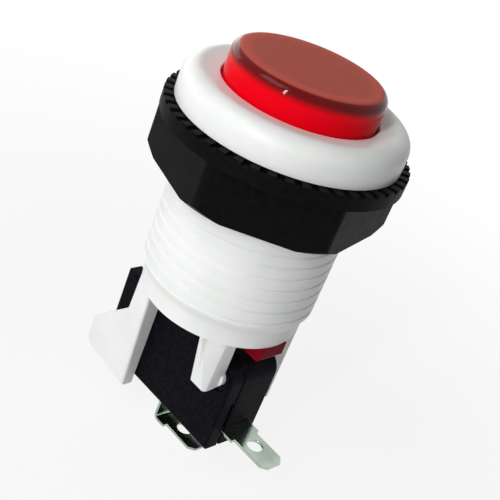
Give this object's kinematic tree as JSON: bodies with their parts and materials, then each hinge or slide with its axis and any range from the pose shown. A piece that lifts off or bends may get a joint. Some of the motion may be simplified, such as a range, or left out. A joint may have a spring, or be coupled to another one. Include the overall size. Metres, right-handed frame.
{
  "type": "panel push button with snap switch",
  "caption": "Round panel push button: translucent red sprung plunger in a white threaded housing with a black lock nut, and a snap switch held under the barrel.",
  "frame": {"origin": "on the button's axis, in the plane of the bezel's underside, where the panel's front face lies", "axes": "+Z along the axis out of the panel towards the user's finger, +X along the switch's length towards its end terminal, and the switch's front face looks to -Y"},
  "size_m": [0.0406, 0.0376, 0.0663],
  "materials": {
    "white_plastic": "satin moulded white plastic",
    "red_plastic": "translucent red plastic, frosted on its top",
    "nut_plastic": "satin black plastic",
    "switch_plastic": "fine matt black plastic",
    "actuator_plastic": "smooth dark plastic",
    "plated_terminal": "dull tin plating",
    "blade_metal": "rolled copper alloy strip",
    "contact_silver": "silver contact stud",
    "spring_steel": "drawn spring wire"
  },
  "bodies": {
    "frame": {"housing": "white_plastic", "return_spring": "spring_steel", "switch_case": "switch_plastic", "switch_cover": "switch_plastic", "end_terminal": "plated_terminal", "bottom_terminal": "plated_terminal", "fixed_contact": "contact_silver"},
    "plunger": {"plunger": "red_plastic"},
    "actuator": {"switch_actuator": "actuator_plastic"},
    "blade": {"contact_blade": "blade_metal", "moving_contact": "contact_silver"},
    "nut": {"lock_nut": "nut_plastic"}
  },
  "joints": [
    {"name": "plunger_press", "type": "slide", "parent": "frame", "child": "plunger", "axis": [0, 0, -1], "range_m": [0, 0.0022], "stiffness_N_per_m": 350, "springref_m": -0.004, "deforming": ["return_spring"]},
    {"name": "actuator_press", "type": "slide", "parent": "frame", "child": "actuator", "axis": [0, 0, -1], "range_m": [0, 0.0022]},
    {"name": "blade_turn", "type": "hinge", "parent": "frame", "child": "blade", "pos_m": [-0.0095, 0, -0.0457], "axis": [0, 1, 0], "range_deg": [0, 2.9]},
    {"name": "nut_travel", "type": "slide", "parent": "frame", "child": "nut", "axis": [0, 0, -1], "range_m": [0, 0.0158]}
  ],
  "couplings": [
    {"joint": "actuator_press", "follows": "plunger_press", "ratio": 1},
    {"joint": "blade_turn", "follows": "plunger_press", "rad_per_m": 23}
  ]
}
